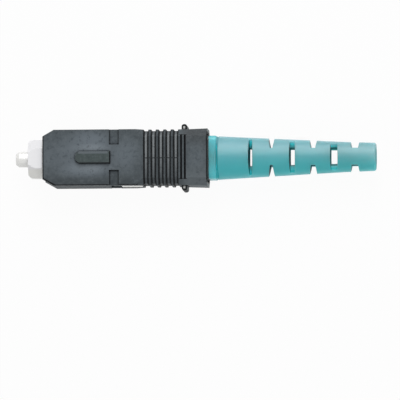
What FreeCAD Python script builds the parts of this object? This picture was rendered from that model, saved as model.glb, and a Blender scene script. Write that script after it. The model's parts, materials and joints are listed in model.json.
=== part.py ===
import FreeCAD, Part
import os
import re
import Sketcher

# A pre-polished SC fibre connector, in millimetres. X runs along the optical axis from the ferrule
# to the boot and Z points out of the key face. The origin is on the axis, at the front of the plug
# frame. Radial rooms are per side.

SIZES = [
    ("fibre_radius", 0.0625, "bare glass fibre"),
    ("fibre_room", 0.008, "room round the fibre in its holes"),
    ("press_room", 0.01, "room between pressed round pieces"),
    ("seat_room", 0.05, "room between seated pieces that do not move"),
    ("slide_room", 0.1, "room between pieces that slide or turn"),
    ("end_room", 0.2, "room at each end of a travel"),
    ("keel_room", 0.07, "room between the keel and the cam"),
    ("mouth_room", 0.4, "room between the boot's collar and the housing"),
    ("housing_travel", 1.55, "slide of the coupling housing"),
    ("ferrule_travel", 1.0, "slide of the ferrule against its spring"),
    ("clamp_lift", 0.1, "lift of the splice clamp, and offset of the cam's bore"),
    ("half_diagonal", 0.70710678, "cosine of 45 degrees"),
    ("ferrule_radius", 1.2495, "standard ferrule"),
    ("ferrule_reach", 2.05, "from the plug frame's front to the ferrule's tip"),
    ("tip_length", 0.5, "length of the chamfer at the tip"),
    ("tip_radius", 0.9, "flat end of the ferrule"),
    ("tail_radius", 1.0, "ferrule inside its holder"),
    ("tail_length", 3.4, "pressed length of the ferrule"),
    ("entry_radius", 0.35, "cone that leads the fibre into the ferrule"),
    ("entry_length", 0.7, "length of that cone"),
    ("flange_front", 5.2, "front of the holder's flange, and the frame's shoulder"),
    ("flange_length", 1.8, "thickness of the flange"),
    ("flange_slot", 0.42, "half width of the two slots in the flange"),
    ("channel_length", 12.3, "splice channel in the barrel"),
    ("channel_wall", 0.55, "wall of the barrel round that channel"),
    ("passage_radius", 0.2, "hole for the fibre through the holder"),
    ("splice_length", 10.0, "length of both splice halves"),
    ("base_flat", 0.05, "flat of the splice base, from the axis to -Y"),
    ("groove_apex", 0.1, "bottom of the splice base's groove, from the axis to +Y"),
    ("clamp_flat", 0.0825, "flat of the closed clamp, from the axis to -Y"),
    ("cam_wall", 0.3, "thinnest wall of the cam"),
    ("keel_setback", 0.4, "from the cam's front to the keel"),
    ("keel_length", 2.4, "length of the keel"),
    ("keel_half", 0.3, "half thickness of the keel"),
    ("tab_length", 1.4, "length of the cam's tab"),
    ("tab_half", 0.35, "half width of the cam's tab"),
    ("lead_tail", 5.2, "lead-in tube behind the barrel"),
    ("lead_neck", 0.9, "outside of the lead-in tube there"),
    ("buffer_radius", 0.5, "bore for the buffered fibre"),
    ("funnel_length", 1.6, "cone from that bore down to the fibre"),
    ("crimp_length", 7.1, "crimp tube"),
    ("crimp_wall", 0.25, "wall of the crimp tube"),
    ("wire_radius", 0.16, "wire of the spring"),
    ("wire_rise", 0.1386, "half height of the wire, which is drawn with six flats"),
    ("spring_length", 6.0, "spring between flange and retainer"),
    ("spring_turns", 5.0, "turns of the spring"),
    ("collar_length", 1.2, "collar of the spring retainer"),
    ("collar_inset", 0.3, "collars inside the frame's width, per side"),
    ("collar_corner", 1.2, "cut corners of both collars"),
    ("snap_setback", 3.1, "from the snap tabs' front to the frame's rear"),
    ("snap_ramp", 0.75, "ramp of the snap tabs"),
    ("snap_length", 1.1, "whole length of the snap tabs"),
    ("snap_half", 0.9, "half width of the snap tabs"),
    ("rear_collar", 1.0, "collar of the rear body"),
    ("rear_wall", 0.3, "wall round the cam's chamber"),
    ("chamber_length", 5.8, "cam's chamber"),
    ("neck_wall", 0.15, "neck under the boot, outside the radius of the barrel's bore"),
    ("neck_length", 5.0, "length of the neck"),
    ("access_setback", 1.4, "from the rear body's front to the cam windows"),
    ("access_length", 2.6, "length of the cam windows"),
    ("frame_length", 20.0, "plug frame"),
    ("frame_half_height", 2.7, "plug frame and rear body, across Z"),
    ("frame_wall", 0.4, "wall of the plug frame above the spring's chamber"),
    ("nose_half_width", 3.05, "nose of the plug frame, across Y"),
    ("nose_bevel", 1.45, "bevel along the nose's four edges"),
    ("nose_point", 0.65, "extra bevel at the very front"),
    ("nose_run", 1.15, "length of that extra bevel"),
    ("nose_corner", 0.4, "cut front corners of the nose"),
    ("sleeve_radius", 1.95, "front bore round the ferrule"),
    ("tail_front", 10.0, "front of the frame's wider rear"),
    ("tail_half_width", 3.6, "wider rear of the frame, across Y"),
    ("tail_bevel", 0.8, "bevel along the rear's edges"),
    ("hook_front", 6.6, "front of the catches for the adapter"),
    ("hook_ramp", 1.2, "ramp of each catch"),
    ("hook_length", 2.7, "whole length of each catch"),
    ("hook_half", 1.2, "half height of each catch"),
    ("lug_setback", 4.95, "from the retaining lugs' front to the frame's rear"),
    ("lug_length", 3.35, "length of these lugs"),
    ("lug_half", 1.7, "half height of these lugs"),
    ("lug_sink", 0.04, "these lugs lie below the housing's sides by this"),
    ("housing_front", 2.43, "front of the coupling housing"),
    ("housing_half_width", 4.5, "coupling housing, across Y"),
    ("housing_half_height", 3.7, "coupling housing, across Z"),
    ("flare", 0.12, "widening of the housing's rear end, per side"),
    ("front_run", 1.85, "front corner cuts, along X"),
    ("front_cut", 1.05, "front corner cuts, across Y"),
    ("front_edge", 0.3, "chamfer of the front edges"),
    ("key_setback", 5.36, "from the housing's front to the key"),
    ("key_length", 5.47, "length of the key"),
    ("key_half", 0.925, "half width of the key"),
    ("key_height", 0.8, "height of the key"),
    ("key_nose", 0.6, "taper at the front of the key"),
    ("key_tip", 0.45, "half width of the key's front end"),
    ("notch_lead", 0.11, "from the notches' front to the side windows"),
    ("notch_length", 1.58, "length of the four notches"),
    ("notch_inset", 2.45, "reach of the notches in from the sides"),
    ("notch_depth", 0.5, "depth of the notches"),
    ("grip_setback", 0.12, "from the side windows to the grip's front"),
    ("edge_bevel", 1.1, "bevel along the housing's edges from there on"),
    ("bevel_run", 1.35, "run-out of that bevel"),
    ("rib_lead", 1.03, "from the grip's front to the middle of the first rib"),
    ("rib_pitch", 1.2, "distance between ribs"),
    ("rib_width", 0.56, "width of a rib"),
    ("rib_count", 5, "ribs"),
    ("rib_depth", 0.25, "depth of the grooves between ribs"),
    ("rib_edge", 0.09, "chamfer on the ribs"),
    ("bar_setback", 0.58, "from the last rib to the pull bar and the pull lugs"),
    ("bar_half_length", 3.6, "half length of the pull bar, across Y"),
    ("bar_slot", 0.32, "width of the slot on each side of the bar"),
    ("bar_width", 0.28, "width of the bar"),
    ("bar_depth", 0.4, "depth of these slots"),
    ("pull_out", 0.86, "height of the pull lugs above the housing's sides"),
    ("pull_setback", 0.16, "from the bar to the middle of the pull lugs"),
    ("pull_half", 0.45, "half width of the pull lugs"),
    ("pull_half_height", 2.35, "half height of the pull lugs, across Z"),
    ("pull_round", 0.4, "rounding of the pull lugs"),
    ("mouth_setback", 0.19, "from the pull lugs to the wide rear opening"),
    ("mouth_depth", 3.1, "wide rear opening of the housing"),
    ("mouth_corner", 0.75, "cut corners of that opening"),
    ("boot_length", 28.1, "whole boot"),
    ("boot_collar", 2.37, "length of the boot's collar"),
    ("collar_half_width", 3.49, "boot's collar, across Y"),
    ("collar_half_height", 2.75, "boot's collar, across Z"),
    ("collar_round", 0.9, "rounding along the collar's edges"),
    ("step_width", 0.24, "groove between collar and body"),
    ("step_depth", 0.12, "depth of that groove"),
    ("boot_radius", 3.515, "front of the boot's body"),
    ("waist_radius", 2.44, "where the boot's taper eases"),
    ("waist_setback", 4.98, "from there to the boot's rear"),
    ("boot_tail_radius", 2.28, "rear end of the boot"),
    ("front_chamfer", 0.12, "chamfer of the body's front edge"),
    ("tail_chamfer", 0.22, "chamfer of the rear edge"),
    ("cable_radius", 1.75, "cable entry of the boot"),
    ("cable_length", 2.3, "straight part of the cable entry"),
    ("slot_setback", 5.56, "from the collar's rear to the middle of the first slot"),
    ("slot_margin", 3.385, "from the middle of the last slot to the boot's rear"),
    ("slot_count", 6, "slots"),
    ("slot_web", 1.35, "half thickness of the web left in each slot"),
    ("slot_growth", 0.32, "each next window or notch is wider by this"),
    ("window_floor", 0.41, "first window, width at its floor"),
    ("window_draft", 0.075, "widening of the windows per side and millimetre"),
    ("notch_floor", 0.39, "first side notch, width at its floor"),
    ("notch_draft", 0.17, "widening of the side notches per side and millimetre"),
]

vector = FreeCAD.Vector
doc = FreeCAD.newDocument("sc_fibre_connector")
sheet = doc.addObject("Spreadsheet::Sheet", "Sizes")
for row, (alias, number, note) in enumerate(SIZES, start=1):
    sheet.set(f"A{row}", alias)
    sheet.set(f"B{row}", str(number))
    sheet.set(f"C{row}", note)
    sheet.setAlias(f"B{row}", alias)
doc.recompute()


def bound(formula):
    """The formula with each size name pointed at the sheet."""
    return re.sub(r"[a-z]\w*", lambda name: f"Sizes.{name.group()}", formula)


def size(formula):
    """The formula's present value."""
    return float(sheet.evalExpression(bound(formula)))


def new_body(label):
    body = doc.addObject("PartDesign::Body", label)
    body.Label = label
    return body


def origin(body, role):
    """One of the body's own origin planes or axes."""
    return next(item for item in body.Origin.OriginFeatures if item.Role == role)


def new_sketch(body, name, role, station="0", turned=0):
    """A sketch on an origin plane, moved along its normal and turned about the X axis."""
    sketch = body.newObject("Sketcher::SketchObject", name)
    sketch.AttachmentSupport = [(origin(body, role), "")]
    sketch.MapMode = "FlatFace"
    turn = FreeCAD.Rotation(vector(1, 0, 0), turned)
    sketch.AttachmentOffset = FreeCAD.Placement(vector(0, 0, 0), turn)
    sketch.setExpression("AttachmentOffset.Base.z", bound(station))
    return sketch


def pin_point(sketch, item, end, across, up):
    """Ties one end of a sketch line to two formulas, measured from the sketch's origin."""
    for kind, formula in (("DistanceX", across), ("DistanceY", up)):
        rule = Sketcher.Constraint(kind, -1, 1, item, end, size(formula))
        sketch.setExpression(f"Constraints[{sketch.addConstraint(rule)}]", bound(formula))


def add_loop(sketch, points):
    """Straight lines through the points, closed, each point a pair of formulas."""
    spots = [vector(size(across), size(up), 0) for across, up in points]
    lines = []
    for start, end in zip(spots, spots[1:] + spots[:1]):
        lines.append(sketch.addGeometry(Part.LineSegment(start, end), False))
    for line, after in zip(lines, lines[1:] + lines[:1]):
        sketch.addConstraint(Sketcher.Constraint("Coincident", line, 2, after, 1))
    for line, (across, up) in zip(lines, points):
        pin_point(sketch, line, 1, across, up)


def add_box(sketch, left, right, low, high):
    add_loop(sketch, [(left, low), (right, low), (right, high), (left, high)])


def add_circle(sketch, across, up, radius):
    centre = vector(size(across), size(up), 0)
    ring = sketch.addGeometry(Part.Circle(centre, vector(0, 0, 1), size(radius)), False)
    pin_point(sketch, ring, 3, across, up)
    rule = sketch.addConstraint(Sketcher.Constraint("Radius", ring, size(radius)))
    sketch.setExpression(f"Constraints[{rule}]", bound(radius))


def octagon(half_width, half_height, corner):
    """Points of a centred rectangle with its four corners cut."""
    outer = [
        (half_width, f"{half_height} - ({corner})"),
        (f"{half_width} - ({corner})", half_height),
    ]
    points = []
    for wide, high in ((1, 1), (-1, 1), (-1, -1), (1, -1)):
        pair = outer if wide * high > 0 else outer[::-1]
        points += [(f"{wide} * ({x})", f"{high} * ({y})") for x, y in pair]
    return points


def mirrored(points):
    """The points with their second formula negated, in reverse, to close a profile about X."""
    return [(across, f"-({up})") for across, up in reversed(points)]


def grow(body, kind, sketch, name, **settings):
    """Adds a feature made from a sketch and keeps the solid's volume honest."""
    doc.recompute()
    before = body.Shape.Volume if body.Tip and not body.Shape.isNull() else 0.0
    feature = body.newObject(f"PartDesign::{kind}", name)
    feature.Profile = sketch
    for setting, choice in settings.items():
        if setting in ("Length", "Pitch", "Height"):
            feature.setExpression(setting, bound(choice))
        else:
            setattr(feature, setting, choice)
    sketch.Visibility = False
    doc.recompute()
    gained = body.Shape.Volume - before
    takes_away = kind in ("Pocket", "Groove")
    if takes_away == (gained >= -1e-9):
        raise RuntimeError(f"{body.Label}: {name} changed the volume by {gained}")
    return feature


def pad(body, sketch, name, length, both=False):
    return grow(body, "Pad", sketch, name, Length=length, Midplane=both)


def pocket(body, sketch, name, length, forward=False):
    return grow(body, "Pocket", sketch, name, Length=length, Reversed=forward)


def cut_through(body, sketch, name):
    return grow(body, "Pocket", sketch, name, Type="ThroughAll", Midplane=True)


def turn_solid(body, name, points):
    """A solid of revolution about X from points of station and radius."""
    sketch = new_sketch(body, f"{name}_profile", "XY_Plane")
    add_loop(sketch, points)
    return grow(body, "Revolution", sketch, name, ReferenceAxis=(sketch, ["H_Axis"]))


def turn_bore(body, name, points):
    """A bore about X from points of station and radius."""
    sketch = new_sketch(body, f"{name}_profile", "XY_Plane")
    add_loop(sketch, points)
    return grow(body, "Groove", sketch, name, ReferenceAxis=(sketch, ["H_Axis"]))


def bevel_edges(body, name, inner, outer):
    """Cuts the four long edges along a profile of station and distance, at 45 degrees."""
    for turned in (45, 135, 225, 315):
        sketch = new_sketch(body, f"{name}_{turned}_profile", "XZ_Plane", turned=turned)
        points = [(station, f"({reach}) * half_diagonal") for station, reach in inner]
        back, front = inner[-1][0], inner[0][0]
        far = f"({outer}) * half_diagonal"
        add_loop(sketch, points + [(back, far), (front, far)])
        cut_through(body, sketch, f"{name}_{turned}")


def mirror(body, name, original, role):
    """Repeats a feature on the other side of an origin plane."""
    feature = body.newObject("PartDesign::Mirrored", name)
    feature.Originals = [original]
    feature.MirrorPlane = (origin(body, role), [""])
    body.Tip = feature
    doc.recompute()
    return feature


def soften(body, kind, name, amount, wanted):
    """A fillet or chamfer on every edge that the test picks."""
    doc.recompute()
    base = body.Tip
    picked = [f"Edge{number}" for number, edge in enumerate(base.Shape.Edges, start=1) if wanted(edge)]
    feature = body.newObject(f"PartDesign::{kind}", name)
    feature.Base = (base, picked)
    feature.setExpression("Radius" if kind == "Fillet" else "Size", bound(amount))
    body.Tip = feature
    doc.recompute()
    return feature


def straight_along(edge, axis):
    """True for a straight edge along one axis."""
    if not isinstance(edge.Curve, Part.Line):
        return False
    return abs(edge.tangentAt(edge.FirstParameter).dot(axis)) > 0.999


def near(number, formula):
    return abs(number - size(formula)) < 1e-4


AXIS_Y, AXIS_Z = vector(0, 1, 0), vector(0, 0, 1)

# Stations along the axis and radii that several pieces share.
fibre_hole = "fibre_radius + fibre_room"
tail_end = "flange_front + tail_length"
flange_rear = "flange_front + flange_length"
retainer_front = f"{flange_rear} + spring_length"
chamber_radius = "frame_half_height - frame_wall"
retainer_radius = f"{chamber_radius} - seat_room"
cam_chamber = "frame_half_height - rear_wall"
barrel_radius = f"{cam_chamber} - cam_wall - 2 * slide_room - 2 * clamp_lift"
channel_radius = f"{barrel_radius} - channel_wall"
splice_radius = f"{channel_radius} - seat_room"
rear_front = "frame_length + collar_length"
cam_front = f"{rear_front} + end_room"
chamber_end = f"{rear_front} + chamber_length"
barrel_end = f"{chamber_end} - end_room"
channel_front = f"{barrel_end} - channel_length"
splice_front = f"{channel_front} + slide_room"
splice_rear = f"{splice_front} + splice_length"
keel_front = f"{cam_front} + keel_setback"
rear_face = f"{barrel_end} + ferrule_travel + end_room"
neck_end = f"{rear_face} + neck_length"
barrel_bore = f"{barrel_radius} + slide_room"
cam_bore = f"{barrel_bore} + clamp_lift"
neck_radius = f"{barrel_bore} + neck_wall"
tab_reach = "frame_half_height - seat_room"
crimp_bore = "lead_neck + seat_room"
crimp_outside = f"{crimp_bore} + crimp_wall"
collar_wide = "tail_half_width - collar_inset"
snap_front = "frame_length - snap_setback"
snap_rear = f"{snap_front} + snap_length"
lug_front = "frame_length - lug_setback"
lug_rear = f"{lug_front} + lug_length"
window_front = f"{lug_front} - housing_travel - end_room"
window_rear = f"{lug_rear} + end_room"
grip_front = f"{window_rear} + grip_setback"
rib_first = f"{grip_front} + rib_lead"
bar_middle = f"{rib_first} + (rib_count - 1) * rib_pitch + bar_setback"
pull_middle = f"{bar_middle} + pull_setback"
pull_reach = "housing_half_width + pull_out"
mouth_front = f"{pull_middle} + pull_half + mouth_setback"
housing_rear = f"{mouth_front} + mouth_depth"
boot_step = f"{rear_face} + boot_collar"
body_front = f"{boot_step} + step_width"
boot_end = f"{rear_face} + boot_length"
cable_front = f"{boot_end} - cable_length"

# The ferrule: a standard cylinder with a chamfered tip, a reduced tail and a cone for the fibre.
ferrule = new_body("ferrule")
turn_solid(ferrule, "rod", [
    ("-ferrule_reach", fibre_hole),
    ("-ferrule_reach", "tip_radius"),
    ("tip_length - ferrule_reach", "ferrule_radius"),
    ("flange_front", "ferrule_radius"),
    ("flange_front", "tail_radius"),
    (tail_end, "tail_radius"),
    (tail_end, "entry_radius"),
    (f"{tail_end} - entry_length", fibre_hole),
])

# The factory fibre ends half way along the splice.
fibre_stub = new_body("fibre_stub")
stub_end = f"{splice_front} + splice_length / 2"
turn_solid(fibre_stub, "strand", [
    ("-ferrule_reach", "0"),
    ("-ferrule_reach", "fibre_radius"),
    (stub_end, "fibre_radius"),
    (stub_end, "0"),
])

# The holder: a slotted flange that the spring pushes on, and a barrel with the splice channel.
ferrule_holder = new_body("ferrule_holder")
flange_radius = f"{chamber_radius} - slide_room"
turn_solid(ferrule_holder, "flanged_barrel", [
    ("flange_front", "0"),
    ("flange_front", flange_radius),
    (flange_rear, flange_radius),
    (flange_rear, barrel_radius),
    (barrel_end, barrel_radius),
    (barrel_end, "0"),
])
seat_radius = "tail_radius + press_room"
turn_bore(ferrule_holder, "ferrule_seat", [
    ("flange_front", "0"),
    ("flange_front", seat_radius),
    (tail_end, seat_radius),
    (tail_end, "passage_radius"),
    (channel_front, "passage_radius"),
    (channel_front, channel_radius),
    (barrel_end, channel_radius),
    (barrel_end, "0"),
])
slots = new_sketch(ferrule_holder, "flange_slots_profile", "YZ_Plane", "flange_front")
slot_floor = "sleeve_radius - slide_room"
for side in ("", "-"):
    ends = sorted((f"{side}({slot_floor})", f"{side}({chamber_radius})"), key=size)
    add_box(slots, ends[0], ends[1], "-flange_slot", "flange_slot")
pocket(ferrule_holder, slots, "flange_slots", "flange_length", forward=True)
keel_window = new_sketch(ferrule_holder, "keel_window_profile", "XZ_Plane")
add_box(
    keel_window,
    f"{keel_front} - end_room",
    f"{keel_front} + keel_length + end_room",
    "-(keel_half + slide_room)",
    "keel_half + slide_room",
)
pocket(ferrule_holder, keel_window, "keel_window", barrel_bore, forward=True)

# The splice: a fixed half with a V-groove for the fibre, and a clamp half that the cam lifts across Y.
splice_base = new_body("splice_base")
turn_solid(splice_base, "rod", [
    (splice_front, "0"),
    (splice_front, splice_radius),
    (splice_rear, splice_radius),
    (splice_rear, "0"),
])
base_cut = new_sketch(splice_base, "flat_and_groove_profile", "YZ_Plane", splice_front)
groove_half = "groove_apex + base_flat"
add_loop(base_cut, [
    ("-base_flat", f"-({channel_radius})"),
    (f"-({channel_radius})", f"-({channel_radius})"),
    (f"-({channel_radius})", channel_radius),
    ("-base_flat", channel_radius),
    ("-base_flat", groove_half),
    ("groove_apex", "0"),
    ("-base_flat", f"-({groove_half})"),
])
pocket(splice_base, base_cut, "flat_and_groove", "splice_length", forward=True)

splice_clamp = new_body("splice_clamp")
clamp_round = new_sketch(splice_clamp, "round_profile", "YZ_Plane", splice_front)
add_circle(clamp_round, "-clamp_lift", "0", f"{splice_radius} - clamp_lift")
pad(splice_clamp, clamp_round, "round", "splice_length")
clamp_cut = new_sketch(splice_clamp, "flat_profile", "YZ_Plane", splice_front)
add_box(clamp_cut, "-(clamp_flat + clamp_lift)", channel_radius, f"-({channel_radius})", channel_radius)
pocket(splice_clamp, clamp_cut, "flat", "splice_length", forward=True)
keel = new_sketch(splice_clamp, "keel_profile", "YZ_Plane", keel_front)
keel_tip = f"-({cam_bore} + clamp_lift - keel_room)"
add_box(keel, keel_tip, "-(clamp_flat + clamp_lift)", "-keel_half", "keel_half")
pad(splice_clamp, keel, "keel", "keel_length")

# The cam: its bore is off centre, so a quarter turn lifts the keel.
cam_sleeve = new_body("cam_sleeve")
cam_outer = new_sketch(cam_sleeve, "sleeve_profile", "YZ_Plane", cam_front)
add_circle(cam_outer, "0", "0", f"{cam_chamber} - slide_room")
pad(cam_sleeve, cam_outer, "sleeve", f"{barrel_end} - ({cam_front})")
tab_front = f"{rear_front} + access_setback + (access_length - tab_length) / 2"
tab = new_sketch(cam_sleeve, "tab_profile", "YZ_Plane", tab_front)
add_loop(tab, [
    (f"({cam_bore} - tab_half) * half_diagonal", f"-({cam_bore} + tab_half) * half_diagonal"),
    (f"({tab_reach} - tab_half) * half_diagonal", f"-({tab_reach} + tab_half) * half_diagonal"),
    (f"({tab_reach} + tab_half) * half_diagonal", f"-({tab_reach} - tab_half) * half_diagonal"),
    (f"({cam_bore} + tab_half) * half_diagonal", f"-({cam_bore} - tab_half) * half_diagonal"),
])
pad(cam_sleeve, tab, "tab", "tab_length")
cam_inner = new_sketch(cam_sleeve, "bore_profile", "YZ_Plane", cam_front)
add_circle(cam_inner, "-clamp_lift", "0", cam_bore)
pocket(cam_sleeve, cam_inner, "bore", f"{barrel_end} - ({cam_front})", forward=True)

lead_in_tube = new_body("lead_in_tube")
lead_front = f"{splice_rear} + slide_room"
lead_end = f"{barrel_end} + lead_tail"
turn_solid(lead_in_tube, "funnel", [
    (lead_front, fibre_hole),
    (lead_front, splice_radius),
    (barrel_end, splice_radius),
    (barrel_end, "lead_neck"),
    (lead_end, "lead_neck"),
    (lead_end, "buffer_radius"),
    (f"{lead_front} + funnel_length", "buffer_radius"),
])

crimp_tube = new_body("crimp_tube")
crimp_front = f"{barrel_end} + slide_room"
crimp_end = f"{crimp_front} + crimp_length"
turn_solid(crimp_tube, "tube", [
    (crimp_front, crimp_bore),
    (crimp_front, crimp_outside),
    (crimp_end, crimp_outside),
    (crimp_end, crimp_bore),
])

# The spring: a helix whose ends are ground flat against the flange and the retainer.
ferrule_spring = new_body("ferrule_spring")
wire = new_sketch(ferrule_spring, "wire_profile", "XY_Plane")
coil_radius = f"({barrel_radius} + {chamber_radius}) / 2"
add_loop(wire, [
    (f"{flange_rear} - wire_radius", coil_radius),
    (f"{flange_rear} - wire_radius / 2", f"{coil_radius} - wire_rise"),
    (f"{flange_rear} + wire_radius / 2", f"{coil_radius} - wire_rise"),
    (f"{flange_rear} + wire_radius", coil_radius),
    (f"{flange_rear} + wire_radius / 2", f"{coil_radius} + wire_rise"),
    (f"{flange_rear} - wire_radius / 2", f"{coil_radius} + wire_rise"),
])
grow(
    ferrule_spring,
    "AdditiveHelix",
    wire,
    "coil",
    ReferenceAxis=(origin(ferrule_spring, "X_Axis"), [""]),
    Mode=0,
    Pitch="spring_length / spring_turns",
    Height="spring_length",
)
turn_bore(ferrule_spring, "front_end", [
    (f"{flange_rear} - 2 * wire_radius", "0"),
    (f"{flange_rear} - 2 * wire_radius", retainer_radius),
    (flange_rear, retainer_radius),
    (flange_rear, "0"),
])
turn_bore(ferrule_spring, "rear_end", [
    (retainer_front, "0"),
    (retainer_front, retainer_radius),
    (f"{retainer_front} + 2 * wire_radius", retainer_radius),
    (f"{retainer_front} + 2 * wire_radius", "0"),
])

# The retainer: a plug with two snap tabs and a collar against the plug frame.
spring_retainer = new_body("spring_retainer")
turn_solid(spring_retainer, "plug", [
    (retainer_front, "0"),
    (retainer_front, retainer_radius),
    (rear_front, retainer_radius),
    (rear_front, "0"),
])
collar = new_sketch(spring_retainer, "collar_profile", "YZ_Plane", "frame_length")
add_loop(collar, octagon(collar_wide, "frame_half_height", "collar_corner"))
pad(spring_retainer, collar, "collar", "collar_length")
snap = new_sketch(spring_retainer, "snap_profile", "XZ_Plane")
add_loop(snap, [
    (snap_front, barrel_radius),
    (snap_front, retainer_radius),
    (f"{snap_front} + snap_ramp", "frame_half_height - slide_room"),
    (snap_rear, "frame_half_height - slide_room"),
    (snap_rear, barrel_radius),
])
snap_tab = pad(spring_retainer, snap, "snap_tab", "2 * snap_half", both=True)
mirror(spring_retainer, "snap_tab_below", snap_tab, "XY_Plane")
turn_bore(spring_retainer, "holder_bore", [
    (retainer_front, "0"),
    (retainer_front, barrel_bore),
    (rear_front, barrel_bore),
    (rear_front, "0"),
])

# The rear body: the cam's chamber with two windows, and the neck that the boot is pushed on.
rear_body = new_body("rear_body")
turn_solid(rear_body, "barrel", [
    (rear_front, "0"),
    (rear_front, "frame_half_height"),
    (rear_face, "frame_half_height"),
    (rear_face, neck_radius),
    (neck_end, neck_radius),
    (neck_end, "0"),
])
rear_collar = new_sketch(rear_body, "collar_profile", "YZ_Plane", rear_front)
add_loop(rear_collar, octagon(collar_wide, "frame_half_height", "collar_corner"))
pad(rear_body, rear_collar, "collar", "rear_collar")
turn_bore(rear_body, "chamber", [
    (rear_front, "0"),
    (rear_front, cam_chamber),
    (chamber_end, cam_chamber),
    (chamber_end, barrel_bore),
    (rear_face, barrel_bore),
    (rear_face, f"{crimp_outside} + end_room"),
    (neck_end, f"{crimp_outside} + end_room"),
    (neck_end, "0"),
])
access = new_sketch(rear_body, "cam_windows_profile", "XZ_Plane")
access_front = f"{rear_front} + access_setback"
access_half = f"({tab_reach} + tab_half) * half_diagonal + slide_room"
add_box(access, access_front, f"{access_front} + access_length", f"-({access_half})", access_half)
cut_through(rear_body, access, "cam_windows")

# The plug frame: a bevelled nose, a wider rear, catches for the adapter and lugs for the housing.
plug_frame = new_body("plug_frame")
plan = new_sketch(plug_frame, "plan", "XY_Plane")
half_plan = [
    ("0", "nose_half_width - nose_corner"),
    ("nose_corner", "nose_half_width"),
    ("tail_front", "nose_half_width"),
    ("tail_front", "tail_half_width"),
    ("frame_length", "tail_half_width"),
]
add_loop(plan, half_plan + mirrored(half_plan))
pad(plug_frame, plan, "block", "2 * frame_half_height", both=True)
nose_limit = "nose_half_width + frame_half_height - nose_bevel"
tail_limit = "tail_half_width + frame_half_height - tail_bevel"
bevel_edges(plug_frame, "bevel", [
    ("0", f"{nose_limit} - nose_point"),
    ("nose_run", nose_limit),
    ("tail_front", nose_limit),
    ("tail_front", tail_limit),
    ("frame_length", tail_limit),
], "2 * tail_half_width")
catch = new_sketch(plug_frame, "catch_profile", "XY_Plane")
half_catch = [
    ("hook_front", "nose_half_width"),
    ("hook_front + hook_ramp", "tail_half_width - seat_room"),
    ("hook_front + hook_length", "tail_half_width - seat_room"),
    ("hook_front + hook_length", "nose_half_width"),
]
add_loop(catch, half_catch + mirrored(half_catch))
pad(plug_frame, catch, "catches", "2 * hook_half", both=True)
lugs = new_sketch(plug_frame, "lugs_profile", "XY_Plane")
lug_reach = "housing_half_width - lug_sink"
add_box(lugs, lug_front, lug_rear, f"-({lug_reach})", lug_reach)
pad(plug_frame, lugs, "lugs", "2 * lug_half", both=True)
turn_bore(plug_frame, "bores", [
    ("0", "0"),
    ("0", "sleeve_radius"),
    ("flange_front", "sleeve_radius"),
    ("flange_front", chamber_radius),
    ("frame_length", chamber_radius),
    ("frame_length", "0"),
])
keys = new_sketch(plug_frame, "flange_keys_profile", "YZ_Plane", "flange_front")
for side in ("", "-"):
    ends = sorted((f"{side}sleeve_radius", f"{side}({chamber_radius} + slide_room)"), key=size)
    add_box(keys, ends[0], ends[1], "-(flange_slot - slide_room)", "flange_slot - slide_room")
pad(plug_frame, keys, "flange_keys", "flange_length - slide_room")
latch = new_sketch(plug_frame, "snap_slots_profile", "XY_Plane")
add_box(
    latch,
    f"{snap_front} - end_room",
    f"{snap_rear} + seat_room",
    "-(snap_half + slide_room)",
    "snap_half + slide_room",
)
cut_through(plug_frame, latch, "snap_slots")

# The coupling housing: a moulded rectangular sleeve with key, notches, grip ribs and pull lugs.
coupling_housing = new_body("coupling_housing")
plan = new_sketch(coupling_housing, "plan", "XY_Plane")
half_plan = [
    ("housing_front", "housing_half_width - front_cut"),
    ("housing_front + front_run", "housing_half_width"),
    (f"{pull_middle} + pull_half", "housing_half_width"),
    (housing_rear, "housing_half_width + flare"),
]
add_loop(plan, half_plan + mirrored(half_plan))
pad(coupling_housing, plan, "block", "2 * housing_half_height", both=True)
soften(
    coupling_housing,
    "Chamfer",
    "front_edges",
    "front_edge",
    lambda edge: straight_along(edge, AXIS_Y) and near(edge.CenterOfMass.x, "housing_front"),
)
edge_limit = "housing_half_width + housing_half_height"
bevel_edges(coupling_housing, "bevel", [
    (f"{grip_front} - bevel_run", edge_limit),
    (grip_front, f"{edge_limit} - edge_bevel"),
    (housing_rear, f"{edge_limit} - edge_bevel"),
], "2 * housing_half_width")

# The grooves between the ribs run right round the housing, so each is cut as a ring.
def groove_ring(name, station, length):
    """One groove, a ring cut between a rib and the next thing behind it."""
    sketch = new_sketch(coupling_housing, f"{name}_profile", "YZ_Plane", station)
    add_box(sketch, f"-({pull_reach})", pull_reach, f"-({pull_reach})", pull_reach)
    add_loop(sketch, octagon(
        "housing_half_width - rib_depth",
        "housing_half_height - rib_depth",
        "edge_bevel - 2 * rib_depth * (1 - half_diagonal)",
    ))
    return pocket(coupling_housing, sketch, name, length, forward=True)


groove_ring("first_groove", grip_front, "rib_lead - rib_width / 2")
next_cut = groove_ring("next_groove", f"{rib_first} + rib_width / 2", "rib_pitch - rib_width")
grooves = coupling_housing.newObject("PartDesign::LinearPattern", "grooves")
grooves.Originals = [next_cut]
grooves.Direction = (origin(coupling_housing, "X_Axis"), [""])
grooves.setExpression("Length", bound("rib_pitch * (rib_count - 2)"))
grooves.setExpression("Occurrences", bound("rib_count - 1"))
coupling_housing.Tip = grooves
doc.recompute()
rib_sides = [
    size(f"{rib_first} + {index} * rib_pitch + {side} * rib_width / 2")
    for index in range(int(size("rib_count")))
    for side in (-1, 1)
]


def on_rib_edge(edge):
    """True for the outer edges of the ribs."""
    box = edge.BoundBox
    if box.XLength > 1e-4 or min(abs(box.XMin - side) for side in rib_sides) > 1e-4:
        return False
    middle = edge.CenterOfMass
    slanted = abs(middle.y) + abs(middle.z)
    return (
        near(abs(middle.y), "housing_half_width")
        or near(abs(middle.z), "housing_half_height")
        or near(slanted, f"{edge_limit} - edge_bevel")
    )


soften(coupling_housing, "Chamfer", "rib_edges", "rib_edge", on_rib_edge)

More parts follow.
